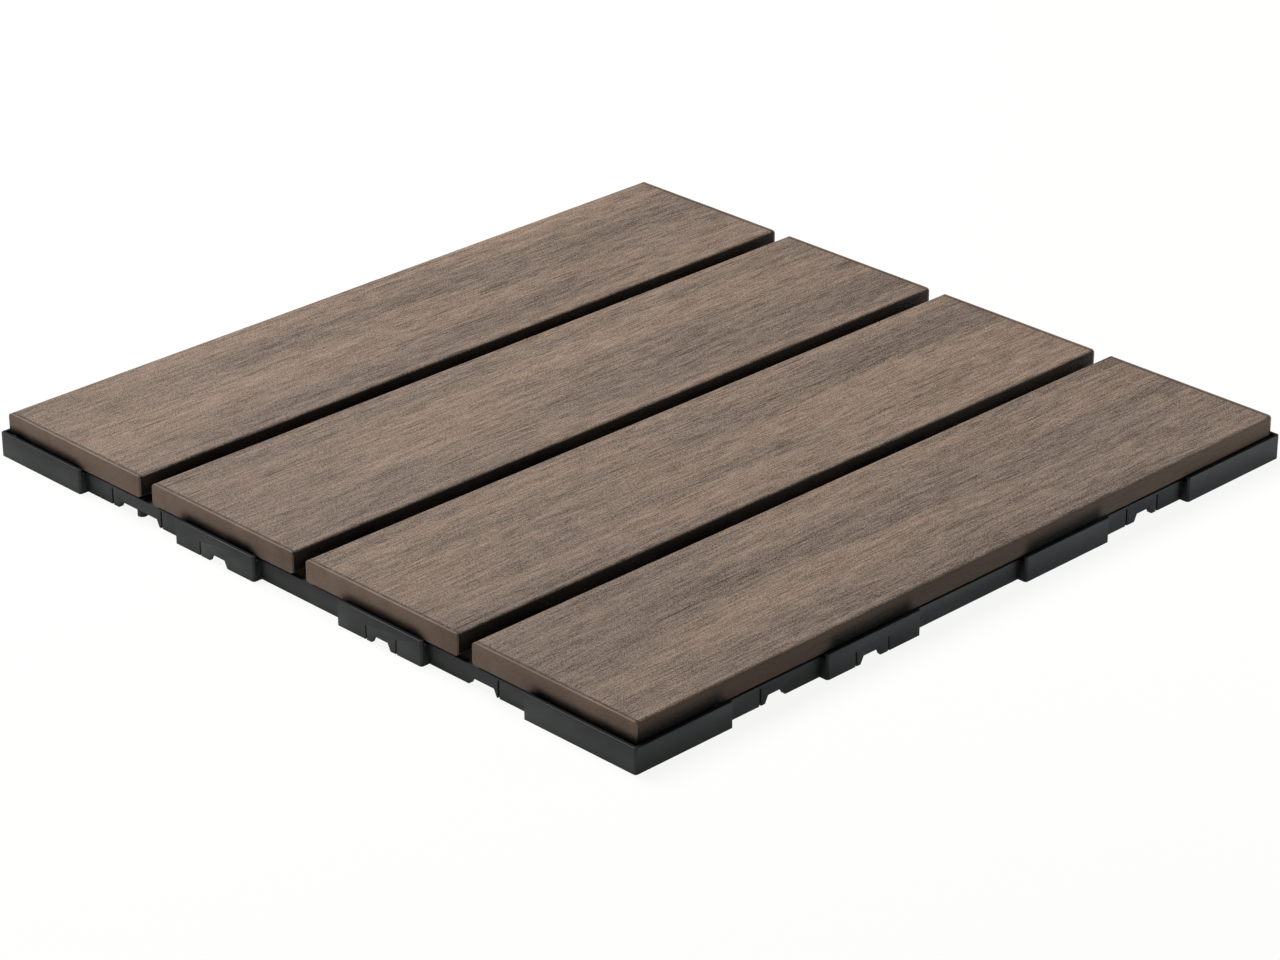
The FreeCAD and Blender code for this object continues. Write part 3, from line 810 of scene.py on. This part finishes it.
@dataclass
class BaseGrid:
    """The moulded base: the CAD grid with every sharp edge broken as a mould leaves it.

    Lengths are in metres and turns in degrees.
    """

    node: str = "base_grid"
    flat_turn: float = 1.0
    rim_turn: float = 57.3
    rim_reach: float = 0.0011
    rim_round: float = 0.0005
    rim_steps: int = 3
    edge_break: float = 0.0002
    break_steps: int = 2
    sharp_turn: float = 35.0
    smooth_turn: float = 50.0
    finish: PlasticFinish = field(default_factory=PlasticFinish)

    def build(self) -> Piece:
        """Copy the grid, merge its loose triangles and break its edges.

        Returns:
            The base piece.
        """
        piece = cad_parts[self.node].copy()
        piece.data = piece.data.copy()
        piece.name = "moulded_base"
        for key in list(piece.keys()):
            del piece[key]
        piece.parent = None
        piece.matrix_world = Matrix.Identity(4)
        bpy.context.scene.collection.objects.link(piece)
        open_piece(piece)
        self.merge()
        self.round_rims(piece)
        rounding = piece.modifiers.new("edge_break", "BEVEL")
        rounding.width = self.edge_break
        rounding.segments = self.break_steps
        rounding.limit_method = "ANGLE"
        rounding.angle_limit = math.radians(self.sharp_turn)
        rounding.use_clamp_overlap = True
        apply_all(piece)
        bpy.ops.object.shade_smooth_by_angle(angle=math.radians(self.smooth_turn))
        return piece

    def merge(self) -> None:
        """Join the open copy's loose triangles into flat faces."""
        bpy.ops.mesh.select_all(action="SELECT")
        bpy.ops.mesh.remove_doubles(threshold=SAME_POINT)
        bpy.ops.mesh.dissolve_limited(angle_limit=math.radians(self.flat_turn))

    def round_rims(self, piece: Piece) -> None:
        """Round the outer edge along the top of each block, and close the copy.

        Args:
            piece: The base piece, open in edit mode.
        """
        corner = box_of(self.node)[1]
        shape = choose(piece, Part.EDGE)
        for edge in shape.edges:
            on_rim = all(self.is_rim(vertex.co, corner) for vertex in edge.verts)
            edge.select = on_rim and edge.calc_face_angle(0.0) > math.radians(self.rim_turn)
        round_selected(piece, self.rim_round, self.rim_steps)

    def is_rim(self, place: Vector, corner: Vector) -> bool:
        """Tell whether a point lies at the outer walls' edge and as high as the node's high corner."""
        at_side = abs(max(abs(place.x), abs(place.y)) - corner.x) < self.rim_reach
        return at_side and abs(place.z - corner.z) < SAME_LEVEL

    def dress(self, piece: Piece) -> None:
        """Give the base its plastic."""
        settle(piece, self.node, self.finish.material())


@dataclass
class Boards:
    """The four composite boards, with lengths in metres and turns in degrees."""

    top_round: float = 0.0012
    top_steps: int = 6
    under_round: float = 0.0010
    under_steps: int = 5
    end_bevel: float = 0.0008
    end_steps: int = 2
    smooth_turn: float = 28.0
    finish: BoardFinish = field(default_factory=BoardFinish)

    def build(self) -> list[Piece]:
        """Model each board where its CAD node lies, from the left."""
        return [self.board(number) for number in range(1, BOARD_COUNT + 1)]

    def board(self, number: int) -> Piece:
        """Model one board: a block with round long edges and bevelled ends.

        Args:
            number: The board's number.

        Returns:
            The board.
        """
        low, high = box_of(f"slat_{number}")
        middle, extent = (low + high) / 2, high - low
        start_alone()
        bpy.ops.mesh.primitive_cube_add(size=1.0, location=middle, scale=extent)
        piece = bpy.context.active_object
        piece.name = f"board_{number}"
        apply_place()
        self.round_long_edges(piece, middle, extent, Face.TOP)
        self.round_long_edges(piece, middle, extent, Face.UNDER)
        self.bevel_ends(piece, middle, extent)
        start_alone(piece)
        bpy.ops.object.shade_smooth_by_angle(angle=math.radians(self.smooth_turn))
        return piece

    def round_long_edges(self, piece: Piece, middle: Vector, extent: Vector, face: Face) -> None:
        """Round the two long edges of the top or the underside.

        Args:
            piece: The board.
            middle: Centre of its box.
            extent: Size of its box.
            face: The face whose edges are rounded.
        """
        open_piece(piece)
        shape = choose(piece, Part.EDGE)
        level = middle.z + face.value * extent.z / 2
        for edge in shape.edges:
            start, end = (vertex.co for vertex in edge.verts)
            at_level = max(abs(start.z - level), abs(end.z - level)) < SAME_LEVEL
            edge.select = at_level and abs(end.y - start.y) > extent.y / 2
        if face is Face.TOP:
            round_selected(piece, self.top_round, self.top_steps)
        else:
            round_selected(piece, self.under_round, self.under_steps)

    def bevel_ends(self, piece: Piece, middle: Vector, extent: Vector) -> None:
        """Bevel the rim of both sawn ends.

        Args:
            piece: The board.
            middle: Centre of its box.
            extent: Size of its box.
        """
        open_piece(piece)
        shape = choose(piece, Part.EDGE)
        for edge in shape.edges:
            past = [abs(vertex.co.y - middle.y) - extent.y / 2 for vertex in edge.verts]
            edge.select = all(abs(distance) < SAME_LEVEL for distance in past)
        round_selected(piece, self.end_bevel, self.end_steps)

    def dress(self, pieces: list[Piece]) -> None:
        """Give the boards their finish.

        Args:
            pieces: The boards.
        """
        half_length = box_of("slat_1")[1].y
        material = self.finish.material(half_length, self.end_bevel)
        for number, piece in enumerate(pieces, 1):
            settle(piece, f"slat_{number}", material)


@dataclass
class Screws:
    """The screws under the boards: a chamfered flat head with a cross recess, and a plain shank.

    Lengths are in metres and turns in degrees.
    """

    facets: int = 32
    shank_radius: float = 0.0015
    head_bevel: float = 0.0003
    bevel_steps: int = 2
    sharp_turn: float = 60.0
    smooth_turn: float = 40.0
    rim_share: float = 0.1
    recess_length: float = 0.0036
    recess_width: float = 0.0008
    recess_depth: float = 0.0011
    recess_taper: float = 0.6
    finish: SteelFinish = field(default_factory=SteelFinish)

    def build(self) -> list[Piece]:
        """Model the pair of screws under each board, from the left."""
        return [self.pair(number) for number in range(1, BOARD_COUNT + 1)]

    def pair(self, number: int) -> Piece:
        """Model the two screws of one board.

        Args:
            number: The board's number.

        Returns:
            Both screws as one piece.
        """
        low, high = box_of(f"slat_{number}_screws")
        head_radius = (high.x - low.x) / 2
        head_top = self.head_top(number, low, head_radius)
        screws = []
        for along in (low.y + head_radius, high.y - head_radius):
            foot = Vector((low.x + head_radius, along, low.z))
            screws.append(self.screw(foot, head_radius, head_top, high.z))
        start_alone(screws[0])
        for screw in screws:
            screw.select_set(True)
        bpy.ops.object.join()
        screws[0].name = f"screws_{number}"
        return screws[0]

    def head_top(self, number: int, low: Vector, head_radius: float) -> float:
        """Find where the heads of the CAD screws end.

        Args:
            number: The board's number.
            low: Low corner of the CAD node's box.
            head_radius: Radius of the heads.

        Returns:
            Height of the face that bears on the boss.
        """
        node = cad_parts[f"slat_{number}_screws"]
        points = [node.matrix_world @ vertex.co for vertex in node.data.vertices]
        rim = [point.z for point in points if abs(point.x - low.x) < head_radius * self.rim_share]
        return max(rim)

    def screw(self, foot: Vector, head_radius: float, head_top: float, tip: float) -> Piece:
        """Model one screw that stands on its head.

        Args:
            foot: Middle of the head's face.
            head_radius: Radius of the head.
            head_top: Height where the head ends.
            tip: Height of the shank's tip.

        Returns:
            The screw.
        """
        start_alone()
        thickness = head_top - foot.z
        middle = foot + Vector((0.0, 0.0, thickness / 2))
        bpy.ops.mesh.primitive_cylinder_add(
            vertices=self.facets, radius=head_radius, depth=thickness, location=middle, end_fill_type="NGON"
        )
        piece = bpy.context.active_object
        apply_place()
        self.draw_shank(piece, head_radius, tip - head_top)
        bevel = piece.modifiers.new("head_bevel", "BEVEL")
        bevel.width = self.head_bevel
        bevel.segments = self.bevel_steps
        bevel.limit_method = "ANGLE"
        bevel.angle_limit = math.radians(self.sharp_turn)
        cutter = self.cross(foot)
        cut = piece.modifiers.new("recess", "BOOLEAN")
        cut.operation = "DIFFERENCE"
        cut.solver = "EXACT"
        cut.object = cutter
        apply_all(piece)
        bpy.data.objects.remove(cutter)
        bpy.ops.object.shade_smooth_by_angle(angle=math.radians(self.smooth_turn))
        return piece

    def draw_shank(self, piece: Piece, head_radius: float, length: float) -> None:
        """Draw the shank out of the head's upper face.

        Args:
            piece: The head.
            head_radius: Its radius.
            length: Length of the shank.
        """
        select_upward(piece)
        bpy.ops.mesh.inset(thickness=head_radius - self.shank_radius)
        bpy.ops.mesh.extrude_region_move(TRANSFORM_OT_translate={"value": (0.0, 0.0, length)})
        bpy.ops.object.mode_set(mode="OBJECT")

    def cross(self, foot: Vector) -> Piece:
        """Model the tapered cross that is cut out of a head.

        Args:
            foot: Middle of the head's face.

        Returns:
            The cross.
        """
        arms = [self.arm(foot, turn) for turn in (0.0, math.radians(90.0))]
        union = arms[0].modifiers.new("arms", "BOOLEAN")
        union.operation = "UNION"
        union.solver = "EXACT"
        union.object = arms[1]
        apply_all(arms[0])
        bpy.data.objects.remove(arms[1])
        return arms[0]

    def arm(self, foot: Vector, turn: float) -> Piece:
        """Model one arm of the cross.

        Args:
            foot: Middle of the head's face.
            turn: Angle of the arm about the screw's axis, in radians.

        Returns:
            The arm.
        """
        start_alone()
        extent = (self.recess_length, self.recess_width, 2 * self.recess_depth)
        bpy.ops.mesh.primitive_cube_add(size=1.0, location=foot, scale=extent)
        piece = bpy.context.active_object
        piece.rotation_euler.z = turn
        apply_place()
        select_upward(piece)
        bpy.ops.transform.resize(value=(self.recess_taper, self.recess_taper, 1.0))
        bpy.ops.object.mode_set(mode="OBJECT")
        return piece

    def dress(self, pieces: list[Piece]) -> None:
        """Give the screws their steel.

        Args:
            pieces: The pairs of screws.
        """
        material = self.finish.material()
        for number, piece in enumerate(pieces, 1):
            settle(piece, f"slat_{number}_screws", material)


@dataclass(frozen=True)
class Stand:
    """A place round a target: degrees from the front towards +X, degrees above the floor, metres away."""

    azimuth: float
    elevation: float
    distance: float
    target: tuple[float, float, float] = (0.0, 0.0, 0.0)

    def hold(self, thing: bpy.types.Object) -> None:
        """Put a camera or a lamp there, and turn it to the target.

        Args:
            thing: The camera or the lamp.
        """
        turn, rise = math.radians(self.azimuth), math.radians(self.elevation)
        level = math.cos(rise)
        outward = Vector((math.sin(turn) * level, -math.cos(turn) * level, math.sin(rise)))
        thing.location = Vector(self.target) + outward * self.distance
        thing.rotation_euler = (-outward).to_track_quat("-Z", "Y").to_euler()
        bpy.context.scene.collection.objects.link(thing)


@dataclass(frozen=True)
class Lamp:
    """A square lamp: its side in metres and its power in watts."""

    name: str
    stand: Stand
    side: float
    power: float
    colour: Colour = (1.0, 1.0, 1.0)

    def build(self) -> None:
        """Hang the lamp."""
        lamp = bpy.data.lights.new(self.name, "AREA")
        lamp.shape = "SQUARE"
        lamp.size = self.side
        lamp.energy = self.power
        lamp.color = self.colour
        self.stand.hold(bpy.data.objects.new(self.name, lamp))


@dataclass
class Studio:
    """Floor, lamps, world and camera, with lengths in metres and the photograph's in pixels."""

    focal_px: float = 4065.6
    image_width_px: float = 1280.0
    sensor_width_mm: float = 36.0
    nearest: float = 0.01
    camera: Stand = Stand(45.295, 25.795, 1.3355, (0.01289, -0.01257, 0.0))
    key: Lamp = Lamp("key", Stand(-84.0, 58.0, 1.7), 0.9, 45.0)
    fill: Lamp = Lamp("fill", Stand(125.0, 11.0, 0.52), 0.25, 0.66, (0.88, 0.98, 1.0))
    floor_half: float = 3.0
    floor_white: Colour = (0.82, 0.82, 0.81)
    floor_glow: Colour = (1.0, 1.0, 0.99)
    glow_reach: Ramp = Ramp(0.1415, 0.1425, 0.0, 0.9)
    mirrored_glow: float = 0.3
    sky: Colour = (1.0, 1.0, 1.0)
    ambient: float = 0.07

    def set_camera(self) -> None:
        """Stand the camera where the photograph was taken from."""
        lens = bpy.data.cameras.new("camera")
        lens.sensor_width = self.sensor_width_mm
        lens.sensor_fit = "HORIZONTAL"
        lens.lens = self.focal_px / self.image_width_px * lens.sensor_width
        lens.clip_start = self.nearest
        camera = bpy.data.objects.new("camera", lens)
        self.camera.hold(camera)
        bpy.context.scene.camera = camera

    def lay_floor(self) -> None:
        """Lay the white floor under the tile."""
        start_alone()
        bpy.ops.mesh.primitive_plane_add(size=2 * self.floor_half, location=(0.0, 0.0, 0.0))
        floor = bpy.context.active_object
        floor.name = "floor"
        apply_place()
        floor.data.materials.append(self.floor_material())

    def floor_material(self) -> Material:
        """Build a white that glows beside the tile, keeps its shadow, and is clear from below.

        Returns:
            The floor's material.
        """
        material = bpy.data.materials.new("floor")
        material.use_nodes = True
        sheet = NodeSheet(material.node_tree)
        out = sheet.add("ShaderNodeOutputMaterial")
        white = sheet.add("ShaderNodeBsdfDiffuse")
        white.inputs["Color"].default_value = (*self.floor_white, 1.0)
        glow = sheet.add("ShaderNodeEmission")
        glow.inputs["Color"].default_value = (*self.floor_glow, 1.0)
        ray = sheet.add("ShaderNodeLightPath").outputs
        across, along, _ = sheet.split(sheet.add("ShaderNodeTexCoord").outputs["Object"])
        out_by = sheet.math("MAXIMUM", sheet.unsigned(across), sheet.unsigned(along))
        seen = sheet.math("MULTIPLY", ray["Is Camera Ray"], sheet.ramp(out_by, self.glow_reach))
        mirrored = sheet.math("MULTIPLY", ray["Is Glossy Ray"], self.mirrored_glow)
        lit = self.blend(sheet, sheet.math("MAXIMUM", seen, mirrored), white, glow)
        from_below = sheet.add("ShaderNodeNewGeometry").outputs["Backfacing"]
        shown = self.blend(sheet, from_below, lit, sheet.add("ShaderNodeBsdfTransparent"))
        sheet.join(shown.outputs[0], out.inputs["Surface"])
        return material

    def blend(self, sheet: NodeSheet, share: Socket, first: Node, second: Node) -> Node:
        """Mix two shaders.

        Args:
            sheet: The material's sheet.
            share: Socket of the second shader's share.
            first: First shader.
            second: Second shader.

        Returns:
            The mixed shader.
        """
        mixed = sheet.add("ShaderNodeMixShader")
        for socket, source in zip(mixed.inputs, (share, first.outputs[0], second.outputs[0])):
            sheet.join(source, socket)
        return mixed

    def light_world(self) -> None:
        """Fill the studio with even light, white behind the object."""
        world = bpy.data.worlds.new("studio")
        bpy.context.scene.world = world
        world.use_nodes = True
        sheet = NodeSheet(world.node_tree)
        out = sheet.add("ShaderNodeOutputWorld")
        sky = sheet.add("ShaderNodeBackground")
        path = sheet.add("ShaderNodeLightPath")
        seen = sheet.math("MULTIPLY", path.outputs["Is Camera Ray"], 1.0 - self.ambient)
        sheet.join(sheet.math("ADD", seen, self.ambient), sky.inputs["Strength"])
        sky.inputs["Color"].default_value = (*self.sky, 1.0)
        sheet.join(sky.outputs[0], out.inputs["Surface"])

    def build(self) -> None:
        """Set up the whole studio."""
        bpy.context.scene.view_settings.view_transform = "Standard"
        self.set_camera()
        self.lay_floor()
        self.light_world()
        self.key.build()
        self.fill.build()


def report(pieces: list[Piece]) -> None:
    """Log the name and the number of faces of finished pieces.

    Args:
        pieces: The pieces.
    """
    for piece in pieces:
        log.info("%s: %d faces", piece.name, len(piece.data.polygons))


def main() -> None:
    """Build the tile and its studio, and report each piece."""
    base = BaseGrid()
    moulding = base.build()
    base.dress(moulding)
    report([moulding])
    boards = Boards()
    planks = boards.build()
    boards.dress(planks)
    report(planks)
    screws = Screws()
    pairs = screws.build()
    screws.dress(pairs)
    report(pairs)
    Studio().build()
    log.info("studio ready")


if __name__ == "__main__":
    main()
